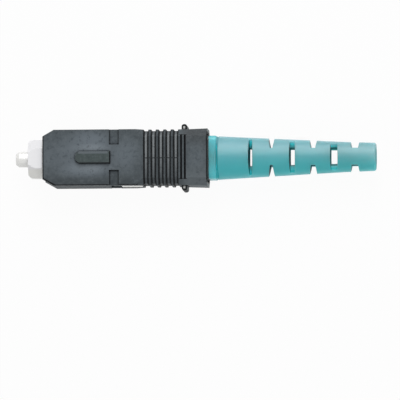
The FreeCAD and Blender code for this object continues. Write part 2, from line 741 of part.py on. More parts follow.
# The pull bar lies between two slots in the key face and the underside.
bar = new_sketch(coupling_housing, "bar_slots_profile", "XY_Plane", "housing_half_height")
bar_side = "bar_width / 2"
for sign in (1, -1):
    ends = sorted(
        (f"{bar_middle} + {sign} * {bar_side}", f"{bar_middle} + {sign} * ({bar_side} + bar_slot)"), key=size
    )
    add_box(bar, ends[0], ends[1], "-bar_half_length", "bar_half_length")
bar_cut = pocket(coupling_housing, bar, "bar_slots", "bar_depth")
mirror(coupling_housing, "bar_slots_below", bar_cut, "XY_Plane")
pulls = new_sketch(coupling_housing, "pull_lugs_profile", "XY_Plane")
add_box(pulls, f"{pull_middle} - pull_half", f"{pull_middle} + pull_half", f"-({pull_reach})", pull_reach)
pad(coupling_housing, pulls, "pull_lugs", "2 * pull_half_height", both=True)
soften(
    coupling_housing,
    "Fillet",
    "pull_lug_rounds",
    "pull_round",
    lambda edge: straight_along(edge, AXIS_Z) and near(abs(edge.CenterOfMass.y), pull_reach),
)

# The inside: a plain cavity that guides the plug frame, and a wider mouth round the boot's collar.
cavity = new_sketch(coupling_housing, "cavity_profile", "YZ_Plane", "housing_front")
add_box(
    cavity,
    "-(tail_half_width + slide_room)",
    "tail_half_width + slide_room",
    "-(frame_half_height + slide_room)",
    "frame_half_height + slide_room",
)
pocket(coupling_housing, cavity, "cavity", f"{housing_rear} - housing_front", forward=True)
mouth = new_sketch(coupling_housing, "mouth_profile", "YZ_Plane", mouth_front)
add_loop(mouth, octagon(
    "collar_half_width + mouth_room", "collar_half_height + mouth_room", "mouth_corner"
))
pocket(coupling_housing, mouth, "mouth", "mouth_depth", forward=True)
windows = new_sketch(coupling_housing, "side_windows_profile", "XZ_Plane")
add_box(
    windows,
    window_front,
    window_rear,
    "-(lug_half + end_room)",
    "lug_half + end_room",
)
cut_through(coupling_housing, windows, "side_windows")
notch_front = f"{window_front} - notch_lead"
notches = new_sketch(coupling_housing, "notches_profile", "XY_Plane", "housing_half_height")
for side in ("", "-"):
    ends = sorted(
        (f"{side}(housing_half_width - notch_inset)", f"{side}(housing_half_width + flare)"), key=size
    )
    add_box(notches, notch_front, f"{notch_front} + notch_length", ends[0], ends[1])
notch_cut = pocket(coupling_housing, notches, "notches", "notch_depth")
mirror(coupling_housing, "notches_below", notch_cut, "XY_Plane")
key = new_sketch(coupling_housing, "key_profile", "XY_Plane", "housing_half_height")
key_front = "housing_front + key_setback"
half_key = [
    (key_front, "key_tip"),
    (f"{key_front} + key_nose", "key_half"),
    (f"{key_front} + key_length", "key_half"),
]
add_loop(key, half_key + mirrored(half_key))
pad(coupling_housing, key, "key", "key_height")

# The boot: a rounded collar in the housing's mouth and a round body that narrows to the cable.
boot = new_body("boot")
collar = new_sketch(boot, "collar_profile", "YZ_Plane", rear_face)
add_box(collar, "-collar_half_width", "collar_half_width", "-collar_half_height", "collar_half_height")
pad(boot, collar, "collar", "boot_collar")
soften(
    boot,
    "Fillet",
    "collar_edges",
    "collar_round",
    lambda edge: straight_along(edge, vector(1, 0, 0)),
)
step = new_sketch(boot, "step_profile", "YZ_Plane", boot_step)
add_loop(step, octagon(
    "collar_half_width - step_depth", "collar_half_height - step_depth", "collar_round"
))
pad(boot, step, "step", "step_width")
turn_solid(boot, "body", [
    (body_front, "0"),
    (body_front, "boot_radius - front_chamfer"),
    (f"{body_front} + front_chamfer", "boot_radius"),
    (f"{boot_end} - waist_setback", "waist_radius"),
    (f"{boot_end} - tail_chamfer", "boot_tail_radius"),
    (boot_end, "boot_tail_radius - tail_chamfer"),
    (boot_end, "0"),
])
turn_bore(boot, "cable_bore", [
    (rear_face, "0"),
    (rear_face, f"{neck_radius} + seat_room"),
    (f"{neck_end} + end_room", f"{neck_radius} + seat_room"),
    (cable_front, "cable_radius"),
    (boot_end, "cable_radius"),
    (boot_end, "0"),
])

# The slots let the boot bend: windows from above and below, and notches from the sides, by turns.
slot_first = f"{boot_step} + slot_setback"
slot_pitch = f"({boot_end} - slot_margin - ({slot_first})) / (slot_count - 1)"
slot_depth = "boot_radius + end_room - slot_web"
for index in range(int(size("slot_count"))):
    middle = f"{slot_first} + {index} * {slot_pitch}"
    kind, plane = (("window", "XZ_Plane"), ("notch", "XY_Plane"))[index % 2]
    floor = f"({kind}_floor + {index // 2} * slot_growth) / 2"
    brim = f"{floor} + {kind}_draft * ({slot_depth})"
    slot = new_sketch(boot, f"{kind}_{index}_profile", plane)
    for side in ("", "-"):
        add_loop(slot, [
            (f"{middle} - ({floor})", f"{side}slot_web"),
            (f"{middle} + {floor}", f"{side}slot_web"),
            (f"{middle} + {brim}", f"{side}(slot_web + {slot_depth})"),
            (f"{middle} - ({brim})", f"{side}(slot_web + {slot_depth})"),
        ])
    cut_through(boot, slot, f"{kind}_{index}")

NODES = [
    ferrule,
    fibre_stub,
    ferrule_holder,
    splice_base,
    splice_clamp,
    cam_sleeve,
    lead_in_tube,
    crimp_tube,
    ferrule_spring,
    spring_retainer,
    rear_body,
    plug_frame,
    coupling_housing,
    boot,
]

doc.recompute()
for item in doc.Objects:
    if "Invalid" in item.State or "Error" in item.State:
        raise RuntimeError(f"{item.Label} did not compute: {item.State}")
os.makedirs("parts", exist_ok=True)
for node in NODES:
    shape = node.Shape
    if shape.isNull() or not shape.isValid() or len(shape.Solids) != 1:
        raise RuntimeError(f"{node.Label} is not one valid solid")
    shape.exportStep(f"parts/{node.Label}.step")
    box = shape.BoundBox
    print(f"{node.Label}: {shape.Volume:.2f} mm3, X {box.XMin:.2f} to {box.XMax:.2f}")
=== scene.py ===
# %% [markdown]
# # Dressing a fibre connector
# The packed model already has every solid of the connector in its right place, in metres. This lesson
# gives each solid the finish of its real material, lights it like a small product on a white table,
# and sets a camera almost straight above it. No solid is moved: all the shape comes from the frame.

# %% Load the packed model
import json
import math

import bpy
from mathutils import Matrix, Vector


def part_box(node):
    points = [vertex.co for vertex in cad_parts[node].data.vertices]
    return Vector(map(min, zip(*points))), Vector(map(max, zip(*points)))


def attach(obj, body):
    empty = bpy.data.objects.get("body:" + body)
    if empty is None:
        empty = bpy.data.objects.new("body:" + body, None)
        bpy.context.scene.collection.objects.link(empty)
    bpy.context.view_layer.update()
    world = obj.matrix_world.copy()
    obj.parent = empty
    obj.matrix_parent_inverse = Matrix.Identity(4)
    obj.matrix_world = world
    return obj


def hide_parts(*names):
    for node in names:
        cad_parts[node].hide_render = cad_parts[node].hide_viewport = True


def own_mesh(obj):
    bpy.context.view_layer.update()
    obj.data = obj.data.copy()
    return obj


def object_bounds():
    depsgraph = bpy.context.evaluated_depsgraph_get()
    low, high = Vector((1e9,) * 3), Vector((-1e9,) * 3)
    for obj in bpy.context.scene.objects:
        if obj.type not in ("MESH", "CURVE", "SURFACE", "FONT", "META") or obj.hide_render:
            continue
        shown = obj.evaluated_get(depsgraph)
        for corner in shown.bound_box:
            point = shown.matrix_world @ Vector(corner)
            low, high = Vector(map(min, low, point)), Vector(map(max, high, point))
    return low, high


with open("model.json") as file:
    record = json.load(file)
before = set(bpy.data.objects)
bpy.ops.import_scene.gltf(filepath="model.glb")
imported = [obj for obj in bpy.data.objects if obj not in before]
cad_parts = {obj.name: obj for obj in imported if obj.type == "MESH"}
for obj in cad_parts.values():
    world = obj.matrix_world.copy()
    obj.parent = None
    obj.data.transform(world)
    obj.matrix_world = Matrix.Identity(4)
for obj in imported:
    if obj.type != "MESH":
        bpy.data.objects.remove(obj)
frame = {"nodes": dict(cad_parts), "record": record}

MM = 0.001

nodes = frame["nodes"]
cad_box = [list(corner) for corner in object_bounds()]
scene = bpy.context.scene
scene.view_settings.view_transform = "Standard"
print("pieces:", sorted(nodes))
print("box in mm:", [[round(value / MM, 2) for value in corner] for corner in cad_box])

# %% [markdown]
# ## The camera
# A long lens far away keeps the housing's edges almost parallel, as in a catalogue picture. A camera
# could be aimed with a constraint, but here its three axes are worked out and written into its matrix,
# so that turning it a little to the boot's side, to the near side and about its own axis stays exact.

# %% Set the camera
IMAGE_PIXELS = 400
FOCAL_PIXELS = 9305.8
SENSOR_MM = 36.0
CLIP_START = 10 * MM
CAMERA_DISTANCE = 1500 * MM
CAMERA_TARGET = Vector((27.63, -6.75, 0)) * MM
TURN_TO_BOOT = math.radians(3.49)
LEAN_TO_NEAR = math.radians(4.27)
ROLL = math.radians(-0.20)

back = Vector((
    math.sin(TURN_TO_BOOT) * math.cos(LEAN_TO_NEAR),
    -math.sin(LEAN_TO_NEAR),
    math.cos(TURN_TO_BOOT) * math.cos(LEAN_TO_NEAR),
)).normalized()
level = Vector((0, 1, 0)).cross(back).normalized()
upright = back.cross(level)
right = math.cos(ROLL) * level + math.sin(ROLL) * upright
up = math.cos(ROLL) * upright - math.sin(ROLL) * level

camera = bpy.data.objects.new("camera", bpy.data.cameras.new("camera"))
scene.collection.objects.link(camera)
camera.data.sensor_width = SENSOR_MM
camera.data.sensor_fit = "HORIZONTAL"
camera.data.lens = FOCAL_PIXELS / IMAGE_PIXELS * SENSOR_MM
camera.data.clip_start = CLIP_START
camera.data.dof.use_dof = False
place = CAMERA_TARGET + CAMERA_DISTANCE * back
camera.matrix_world = Matrix((
    (right.x, up.x, back.x, place.x),
    (right.y, up.y, back.y, place.y),
    (right.z, up.z, back.z, place.z),
    (0, 0, 0, 1),
))
scene.camera = camera
print("lens in mm:", round(camera.data.lens, 1))

# %% [markdown]
# ## Small helpers for node trees
# Every finish below is a tree of shader nodes. Adding a node, setting its inputs and linking it takes
# several lines each time, so small helpers do that. An input gets either a plain value or the output
# socket of another node. Two more helpers do one step of arithmetic and one soft step from 0 to 1.

# %% Helpers for nodes
def feed(tree, node, **inputs):
    """Set inputs, by name with _ for a space or by number after a _, to values or other nodes' outputs."""
    for name, value in inputs.items():
        socket = node.inputs[int(name[1:]) if name[1:].isdigit() else name.replace("_", " ")]
        if isinstance(value, bpy.types.NodeSocket):
            tree.links.new(value, socket)
        else:
            socket.default_value = value
    return node


def add(tree, kind, settings=None, **inputs):
    """Add a node of one kind, with its settings and inputs."""
    node = tree.nodes.new(kind)
    for name, value in (settings or {}).items():
        setattr(node, name, value)
    return feed(tree, node, **inputs)


def math_node(tree, operation, first, second=0.0, clamp=True):
    """One step of arithmetic on values, which is kept between 0 and 1 unless told otherwise."""
    settings = {"operation": operation, "use_clamp": clamp}
    return add(tree, "ShaderNodeMath", settings, _0=first, _1=second).outputs[0]


def ramp(tree, value, start, end):
    """A soft step: 0 where the value is at start, 1 where it is at end."""
    settings = {"interpolation_type": "SMOOTHSTEP"}
    limits = {"From_Min": min(start, end), "From_Max": max(start, end)}
    ends = {"To_Min": float(start > end), "To_Max": float(start < end)}
    return add(tree, "ShaderNodeMapRange", settings, Value=value, **limits, **ends).outputs[0]


print("helpers:", feed.__name__, add.__name__, math_node.__name__, ramp.__name__)

# %% [markdown]
# ## The table
# The connector lies on its underside on a white table. A plain white plane under a strong light would
# do, but it turns grey wherever less light falls. So most of this plane's surface glows white, for the
# camera, in reflections and through glass only, and the rest of it is plain paint that still takes the
# shadow. A hair's gap under the housing keeps the two flat faces from fighting for the same pixels.

# %% The table
TABLE_HALF = 0.8
TABLE_GAP = 0.02 * MM
TABLE_GLOW = 0.95
TABLE_PAINT = (0.8, 0.8, 0.8, 1)
WHITE = (1, 1, 1, 1)


def seen_directly(tree):
    """1 where a surface is seen by the camera, in a reflection or through glass, 0 where it only lights."""
    path = add(tree, "ShaderNodeLightPath").outputs
    seen = math_node(tree, "ADD", path["Is Camera Ray"], path["Is Glossy Ray"])
    return math_node(tree, "ADD", seen, path["Is Transmission Ray"])


table_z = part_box("coupling_housing")[0].z - TABLE_GAP
table_mesh = bpy.data.meshes.new("table")
corners = [(-1, -1), (1, -1), (1, 1), (-1, 1)]
table_mesh.from_pydata([(x * TABLE_HALF, y * TABLE_HALF, table_z) for x, y in corners], [], [(0, 1, 2, 3)])
table = bpy.data.objects.new("table", table_mesh)
scene.collection.objects.link(table)

table_finish = bpy.data.materials.new("table_white")
table_finish.use_nodes = True
tree = table_finish.node_tree
tree.nodes.clear()
glow_share = math_node(tree, "MULTIPLY", seen_directly(tree), TABLE_GLOW)
plain = add(tree, "ShaderNodeBsdfDiffuse", Color=TABLE_PAINT).outputs[0]
glow = add(tree, "ShaderNodeEmission", Color=WHITE, Strength=1.0).outputs[0]
mixed = add(tree, "ShaderNodeMixShader", _0=glow_share, _1=plain, _2=glow).outputs[0]
add(tree, "ShaderNodeOutputMaterial", Surface=mixed)
table_mesh.materials.append(table_finish)
print("table at z in mm:", round(table_z / MM, 2))

# %% [markdown]
# ## The room
# Small products are lit with a bright room and one soft panel. The room is the world colour, brighter
# on the near side to fill the panel's shadows. It could be a picture of a studio, but one step from
# near to far is enough here. The camera and reflections see a plain white world, like the paper round
# a product.

# %% The room
NEAR_LIGHT = 0.85
FAR_LIGHT = 0.15

world = bpy.data.worlds.new("room")
scene.world = world
world.use_nodes = True
tree = world.node_tree
tree.nodes.clear()
towards = add(tree, "ShaderNodeTexCoord").outputs["Generated"]
sideways = add(tree, "ShaderNodeSeparateXYZ", Vector=towards).outputs["Y"]
limits = {"From_Min": -1.0, "From_Max": 1.0, "To_Min": NEAR_LIGHT, "To_Max": FAR_LIGHT}
room_light = add(tree, "ShaderNodeMapRange", Value=sideways, **limits).outputs[0]
soft = add(tree, "ShaderNodeBackground", Color=WHITE, Strength=room_light).outputs[0]
paper = add(tree, "ShaderNodeBackground", Color=WHITE, Strength=1.0).outputs[0]
mixed = add(tree, "ShaderNodeMixShader", _0=seen_directly(tree), _1=soft, _2=paper).outputs[0]
add(tree, "ShaderNodeOutputWorld", Surface=mixed)
print("room light, near and far:", NEAR_LIGHT, FAR_LIGHT)

# %% [markdown]
# ## The panel
# The panel is an area lamp on the far side. It is long from far to near and narrow along the connector,
# so the boot gets a soft shine and the grooves keep their shadows. Its power is worked out from its
# area, so that a larger panel lights the part more softly without making the panel itself any brighter.

# %% The panel
PANEL_LIGHT = 4.2
PANEL_WIDTH = 0.2
PANEL_LENGTH = 0.58
PANEL_DISTANCE = 0.45
PANEL_ANGLE = math.radians(51)

panel_lamp = bpy.data.lights.new("panel", "AREA")
panel_lamp.shape = "RECTANGLE"
panel_lamp.size, panel_lamp.size_y = PANEL_WIDTH, PANEL_LENGTH
panel_lamp.energy = PANEL_LIGHT * math.pi * PANEL_WIDTH * PANEL_LENGTH
panel = bpy.data.objects.new("panel", panel_lamp)
scene.collection.objects.link(panel)
middle = (Vector(cad_box[0]) + Vector(cad_box[1])) / 2
panel.location = middle + PANEL_DISTANCE * Vector((0, math.sin(PANEL_ANGLE), math.cos(PANEL_ANGLE)))
panel.rotation_euler = (-PANEL_ANGLE, 0, 0)
print("panel power in W:", round(panel_lamp.energy, 2))

# %% [markdown]
# ## Smooth rounds and crisp edges
# The solids arrive as triangles. Shaded flat, a round boot would show its facets; shaded smooth all
# over, the housing's flats would look swollen. A geometry-nodes modifier joins the triangles' corners
# and shades smooth only across edges that bend less than a set angle, and the mesh itself stays as is.

# %% Shading by angle
SMOOTH_BELOW = math.radians(24)
WELD_DISTANCE = 1e-7

smoother = bpy.data.node_groups.new("smooth_rounds", "GeometryNodeTree")
smoother.interface.new_socket("Solid", in_out="INPUT", socket_type="NodeSocketGeometry")
smoother.interface.new_socket("Solid", in_out="OUTPUT", socket_type="NodeSocketGeometry")
smoother.is_modifier = True
solid_in = add(smoother, "NodeGroupInput").outputs[0]
bare = add(smoother, "GeometryNodeRemoveAttribute", Geometry=solid_in, Name="custom_normal").outputs[0]
welded = add(smoother, "GeometryNodeMergeByDistance", Geometry=bare, Distance=WELD_DISTANCE).outputs[0]
bend = add(smoother, "GeometryNodeInputMeshEdgeAngle").outputs["Unsigned Angle"]
gentle = add(smoother, "FunctionNodeCompare", {"operation": "LESS_THAN"}, _0=bend, _1=SMOOTH_BELOW).outputs[0]
shaded = welded
for domain, smooth in (("FACE", True), ("EDGE", gentle)):
    shading = {"Geometry": shaded, "Shade_Smooth": smooth}
    shaded = add(smoother, "GeometryNodeSetShadeSmooth", {"domain": domain}, **shading).outputs[0]
add(smoother, "NodeGroupOutput", _0=shaded)

for solid in nodes.values():
    solid.modifiers.new("smooth_rounds", "NODES").node_group = smoother
print("shaded by angle:", len(nodes))

# %% [markdown]
# ## Grain, specks and clouds
# Moulded plastic is never one flat colour. The mould's texture catches light in tiny bumps, dust and
# filler show as specks, and the melt leaves faint clouds. Each plastic takes as much of the three as it
# needs, so a node group makes them once, from noise in the part's own metres: nothing has to be
# unwrapped, and the grain is as fine on a small piece as on a large one.

# %% Grain, specks and clouds
SKIN_LAYERS = {
    "Grain": {"per_metre": 9000.0, "detail": 2.0, "roughness": 0.6},
    "Speckle": {"per_metre": 1700.0, "detail": 3.0, "roughness": 0.7},
    "Clouds": {"per_metre": 300.0, "detail": 4.0, "roughness": 0.55},
}


def new_group(name, inputs, outputs):
    """A shader node group with its named sockets, and the sockets to work between."""
    group = bpy.data.node_groups.new(name, "ShaderNodeTree")
    for label, value in inputs.items():
        socket = group.interface.new_socket(label, in_out="INPUT", socket_type="NodeSocketFloat")
        socket.default_value = value
    for label, kind in outputs.items():
        group.interface.new_socket(label, in_out="OUTPUT", socket_type=kind)
    return group, add(group, "NodeGroupInput").outputs, add(group, "NodeGroupOutput")


def spot_on_part(tree):
    """The point that is being shaded, in the part's own metres."""
    return add(tree, "ShaderNodeTexCoord").outputs["Object"]


mould_skin, given, result = new_group(
    "mould_skin",
    {label + " per metre": layer["per_metre"] for label, layer in SKIN_LAYERS.items()},
    {label: "NodeSocketFloat" for label in SKIN_LAYERS},
)
spot = spot_on_part(mould_skin)
for label, layer in SKIN_LAYERS.items():
    look = {"Detail": layer["detail"], "Roughness": layer["roughness"]}
    noise = add(mould_skin, "ShaderNodeTexNoise", Vector=spot, Scale=given[label + " per metre"], **look)
    feed(mould_skin, result, **{label: noise.outputs[0]})
print("group:", mould_skin.name, "with", ", ".join(SKIN_LAYERS))

# %% [markdown]
# ## Handled edges, with a painted highlight
# Outer edges are rubbed by fingers and sockets, and no moulded edge is quite sharp. Their paler colour is
# partly that wear and partly a painted highlight. A bevel modifier would change the solids. The bevel
# node only averages the surface's direction over a small radius: where that differs from the true
# direction there is an edge, and the average also rounds the shading.

# %% Edges
EDGE_RADIUS = 0.12 * MM
EDGE_SHARPNESS = 6.0
EDGE_SAMPLES = 6

edge_wear_and_highlight, given, result = new_group(
    "edge_wear_and_highlight",
    {"Radius": EDGE_RADIUS, "Sharpness": EDGE_SHARPNESS},
    {"Edge": "NodeSocketFloat", "Rounded": "NodeSocketVector"},
)
true_normal = add(edge_wear_and_highlight, "ShaderNodeNewGeometry").outputs["Normal"]
rounded = add(edge_wear_and_highlight, "ShaderNodeBevel", {"samples": EDGE_SAMPLES}, Radius=given["Radius"]).outputs[0]
agree = add(edge_wear_and_highlight, "ShaderNodeVectorMath", {"operation": "DOT_PRODUCT"}, _0=true_normal, _1=rounded)
differ = math_node(edge_wear_and_highlight, "SUBTRACT", 1.0, agree.outputs["Value"])
edge = math_node(edge_wear_and_highlight, "MULTIPLY", differ, given["Sharpness"])
feed(edge_wear_and_highlight, result, Edge=edge, Rounded=rounded)
print("group:", edge_wear_and_highlight.name, "radius in mm", round(EDGE_RADIUS / MM, 2))

# %% [markdown]
# ## Painted shade in creases
# Tight corners get a painted shade, because little light gets into them, and some dirt gathers there
# too. Corners could be marked by hand, but the ambient-occlusion node finds them all: it tells how much
# of the view from a point is blocked within a short reach. This group turns that into a share that
# grows with the depth of the corner.

# %% Creases
CREASE_REACH = 0.35 * MM
CREASE_DEPTH = 2.0
CREASE_SAMPLES = 8

painted_crease_shade, given, result = new_group(
    "painted_crease_shade",
    {"Reach": CREASE_REACH, "Depth": CREASE_DEPTH},
    {"Crease": "NodeSocketFloat"},
)
look = {"samples": CREASE_SAMPLES}
openness = add(painted_crease_shade, "ShaderNodeAmbientOcclusion", look, Distance=given["Reach"]).outputs["AO"]
closed = math_node(painted_crease_shade, "SUBTRACT", 1.0, openness)
feed(painted_crease_shade, result, Crease=math_node(painted_crease_shade, "MULTIPLY", closed, given["Depth"]))
print("group:", painted_crease_shade.name, "reach in mm", round(CREASE_REACH / MM, 2))

# %% [markdown]
# ## One recipe for the moulded pieces
# Housing, plug frame, boot and the inner mouldings differ in colour, gloss and grain, but are built up
# alike: clouds vary the colour, marks cover it (wear, and painted light and shade), edges take a paler
# colour that is partly wear and partly a painted highlight, creases take a painted shade, and grain
# varies gloss and bumps. So one function makes them all, and each call below reads like the
# material's own data sheet. Gloss values that are the same all over go straight to the shader.

# %% Recipe for moulded plastic
EDGE_SHARE = 0.6
CREASE_SHADE = 0.12


def use_group(tree, group):
    """Place a node group in a material and give its outputs."""
    return add(tree, "ShaderNodeGroup", {"node_tree": group}).outputs


def principled(name, **constants):
    """A material with one Principled shader, with its plain values set."""
    finish = bpy.data.materials.new(name)
    finish.use_nodes = True
    shader = finish.node_tree.nodes["Principled BSDF"]
    return finish, finish.node_tree, feed(finish.node_tree, shader, **constants)


def mix_colours(tree, share, first, second):
    """Blend two colours by a share. Inputs 6 and 7 and output 2 are the Mix node's colours."""
    ends = {"_6": first, "_7": second}
    return add(tree, "ShaderNodeMix", {"data_type": "RGBA"}, Factor=share, **ends).outputs[2]


def moulded(name, dark, light, edge_colour, gloss, grain, crease=None, crease_share=0.5,
            marks=None, coat=None, **constants):
    """Moulded plastic: two cloud colours, an edge colour, a range of roughness and a grain height."""
    finish, tree, shader = principled(name, **constants)
    skin = use_group(tree, mould_skin)
    edges = use_group(tree, edge_wear_and_highlight)
    inside = use_group(tree, painted_crease_shade)["Crease"]

    colour = mix_colours(tree, skin["Clouds"], (*dark, 1), (*light, 1))
    for share, mark_colour in marks(tree) if marks else ():
        colour = mix_colours(tree, share, colour, (*mark_colour, 1))
    # Paler edges: partly wear, partly a painted highlight.
    worn = math_node(tree, "MULTIPLY", edges["Edge"], EDGE_SHARE)
    colour = mix_colours(tree, worn, colour, (*edge_colour, 1))
    # Painted shade in the creases: the crease colour, mixed in by the ambient-occlusion share.
    if crease_share:
        deep = crease or tuple(CREASE_SHADE * value for value in dark)
        colour = mix_colours(tree, math_node(tree, "MULTIPLY", inside, crease_share), colour, (*deep, 1))

    rough = add(tree, "ShaderNodeMapRange", Value=skin["Grain"], To_Min=gloss[0], To_Max=gloss[1]).outputs[0]
    grained = {"Strength": 1.0, "Distance": grain, "Height": skin["Grain"], "Normal": edges["Rounded"]}
    bump = add(tree, "ShaderNodeBump", **grained).outputs[0]
    feed(tree, shader, Base_Color=colour, Roughness=rough, Normal=bump)
    if coat:
        open_skin = math_node(tree, "SUBTRACT", 1.0, inside)
        feed(tree, shader, Coat_Weight=math_node(tree, "MULTIPLY", coat(tree), open_skin))
    return finish


finishes = {}
print("recipe:", moulded.__doc__)

# %% [markdown]
# ## Finding a place on a piece
# The marks of use sit at known places: at the ribs' feet, along a rim, round the key. They could be
# painted on a picture, but that would need unwrapping and would blur when seen close. Here a mark is a
# mask that is worked out from the point's own coordinates, so these helpers test whether a point lies
# between two limits or in a box, and shade a piece in soft steps along its axes.

# %% Masks from coordinates
MARK_SOFT = 0.04 * MM


def place_on_part(tree):
    """The point's coordinates: along the connector, across it and up."""
    return add(tree, "ShaderNodeSeparateXYZ", Vector=spot_on_part(tree)).outputs


def between(tree, value, start, end, soft):
    """1 where a value lies between two limits, fading to 0 outside them."""
    rise = ramp(tree, value, start - soft, start + soft)
    fall = ramp(tree, value, end + soft, end - soft)
    return math_node(tree, "MULTIPLY", rise, fall)


def in_box(tree, place, low, high):
    """1 inside a box whose corners are given in mm, fading to 0 across its sides."""
    share = 1.0
    for value, start, end in zip(place, low, high):
        share = math_node(tree, "MULTIPLY", between(tree, value, start * MM, end * MM, MARK_SOFT), share)
    return share


def soft_shades(tree, shades):
    """Marks that grow in soft steps, each from one place in mm to another along one or two axes."""
    place = place_on_part(tree)
    marks = []
    for steps, share, colour in shades.values():
        for axis, (start, full) in steps.items():
            share = math_node(tree, "MULTIPLY", ramp(tree, place[axis], start * MM, full * MM), share)
        marks.append((share, colour))
    return marks


print("masks:", between.__doc__, in_box.__doc__)

# %% [markdown]
# ## Paler patches on the housing
# The flat round the key is a paler grey, partly rubbed by plugging in and out and partly a painted
# sheen, and the patches along the key's walls are painted light that fills the key's shadow. The patches
# have no sharp outline, so each is a soft ellipsoid with a middle and a reach in mm, and the melt's
# clouds break it up. Like all marks here they are colours only, so the housing's form is the same as in
# the frame.

# %% Paler patches: wear, painted sheen and painted light
# Partly rubbed grey, partly a painted sheen.
RUBBED_AND_SHEEN = (0.165, 0.195, 0.222)
# Painted light along the key's walls, filling the key's shadow.
PAINTED_FILL_LIGHT = (0.230, 0.265, 0.295)
PATCH_FADE = (1.1, 0.1)
CLOUD_FADE = (-0.3, 0.7)
PALER_PATCHES = {
    "round the key": ((8.5, 0.4, 3.7), (11.0, 4.6, 3.0), 0.6, RUBBED_AND_SHEEN),
    "far side of the key": ((10.2, 2.7, 3.7), (4.2, 2.2, 2.0), 0.8, RUBBED_AND_SHEEN),
    "near side of the key": ((9.8, -1.9, 3.7), (5.0, 2.0, 2.0), 1.0, RUBBED_AND_SHEEN),
    "along the key's far wall": ((10.3, 1.5, 3.7), (3.6, 0.9, 0.6), 1.0, PAINTED_FILL_LIGHT),
    "along the key's near wall": ((10.3, -1.6, 3.7), (3.9, 1.1, 0.6), 1.0, PAINTED_FILL_LIGHT),
    "behind the key": ((16.2, 0.3, 3.7), (3.2, 4.0, 2.0), 0.45, RUBBED_AND_SHEEN),
    "behind the ribs": ((27.2, 0.3, 3.7), (2.6, 4.0, 2.0), 0.3, RUBBED_AND_SHEEN),
}


def paler_patches(tree):
    """Paler ellipsoids, broken up by the clouds, as shares and colours."""
    spot = spot_on_part(tree)
    patchy = ramp(tree, use_group(tree, mould_skin)["Clouds"], *CLOUD_FADE)
    marks = []
    for middle, reach, share, colour in PALER_PATCHES.values():
        patch = {"Location": Vector(middle) * MM, "Scale": Vector(reach) * MM}
        away = add(tree, "ShaderNodeMapping", {"vector_type": "TEXTURE"}, Vector=spot, **patch).outputs[0]
        distance = add(tree, "ShaderNodeVectorMath", {"operation": "LENGTH"}, _0=away).outputs["Value"]
        rubbed = math_node(tree, "MULTIPLY", ramp(tree, distance, *PATCH_FADE), patchy)
        marks.append((math_node(tree, "MULTIPLY", rubbed, share), colour))
    return marks


print("rubbed patches:", len(PALER_PATCHES))

# %% [markdown]
# ## The ribs of the grip
# The floors of the grooves get a painted highlight that fades towards the near and far sides, and the
# ribs' feet get a painted shade. Painting each rib by hand would take many masks. The ribs repeat, so
# the place along the connector is divided by their pitch and only the fraction is kept: then one mask
# holds for every rib, with limits that are shares of the pitch.

# %% Marks on the grip
GROOVE_MIDDLE = 20.35 * MM
RIB_PITCH = 1.2 * MM
GRIP_START, GRIP_END = 18.66 * MM, 24.4 * MM
RIB_FOOT = 0.27
FOOT_HALF = 0.125
FOOT_SOFT = 0.03
NEAR_FADE = (-5 * MM, 2 * MM)
FAR_FADE = (4.6 * MM, 3.2 * MM)
GRIP_GREY = (0.070, 0.082, 0.090)
# Painted highlight on the groove floors.
FLOOR_HIGHLIGHT = (0.250, 0.270, 0.280)
# Painted shade: at the ribs' feet, along rims, in slots and the mouth, round the key, in the front corner.
PAINTED_SHADE = (0.005, 0.006, 0.007)


def steps_from_groove(tree, along):
    """How far a point is from the nearest groove's middle, as a share of the ribs' pitch."""
    offset = math_node(tree, "SUBTRACT", along, GROOVE_MIDDLE - RIB_PITCH / 2, clamp=False)
    turns = math_node(tree, "DIVIDE", offset, RIB_PITCH, clamp=False)
    phase = math_node(tree, "FRACT", turns)
    return math_node(tree, "ABSOLUTE", math_node(tree, "SUBTRACT", phase, 0.5, clamp=False))


def grip_marks(tree):
    """A grey over the grip, a painted highlight on the groove floors, and apart from them painted shade at
    the ribs' feet.
    """
    along, across, _ = place_on_part(tree)
    in_grip = between(tree, along, GRIP_START, GRIP_END, MARK_SOFT)
    steps = steps_from_groove(tree, along)
    # The groove floors' painted highlight, fading towards the near and far sides.
    floor = math_node(tree, "MULTIPLY", in_grip, ramp(tree, steps, RIB_FOOT, RIB_FOOT - FOOT_HALF))
    for fade in (NEAR_FADE, FAR_FADE):
        floor = math_node(tree, "MULTIPLY", floor, ramp(tree, across, *fade))
    # Painted shade at the ribs' feet.
    foot = between(tree, steps, RIB_FOOT - FOOT_HALF, RIB_FOOT + FOOT_HALF, FOOT_SOFT)
    feet_shade = math_node(tree, "MULTIPLY", in_grip, foot)
    return [(in_grip, GRIP_GREY), (floor, FLOOR_HIGHLIGHT)], [(feet_shade, PAINTED_SHADE)]


print("grip in rib pitches:", round((GRIP_END - GRIP_START) / RIB_PITCH, 1))

# %% [markdown]
# ## Shades and specks of the housing
# The housing's grey steps softly: a painted shade darkens the near edge in front of the grip, the rear
# is darker on its far side and paler on its near side, and the key's top is darker. Over all of it lie
# pale specks of filler and dark specks of dust. Both kinds of speck come from one noise: its crests are
# pale and its hollows are dark.

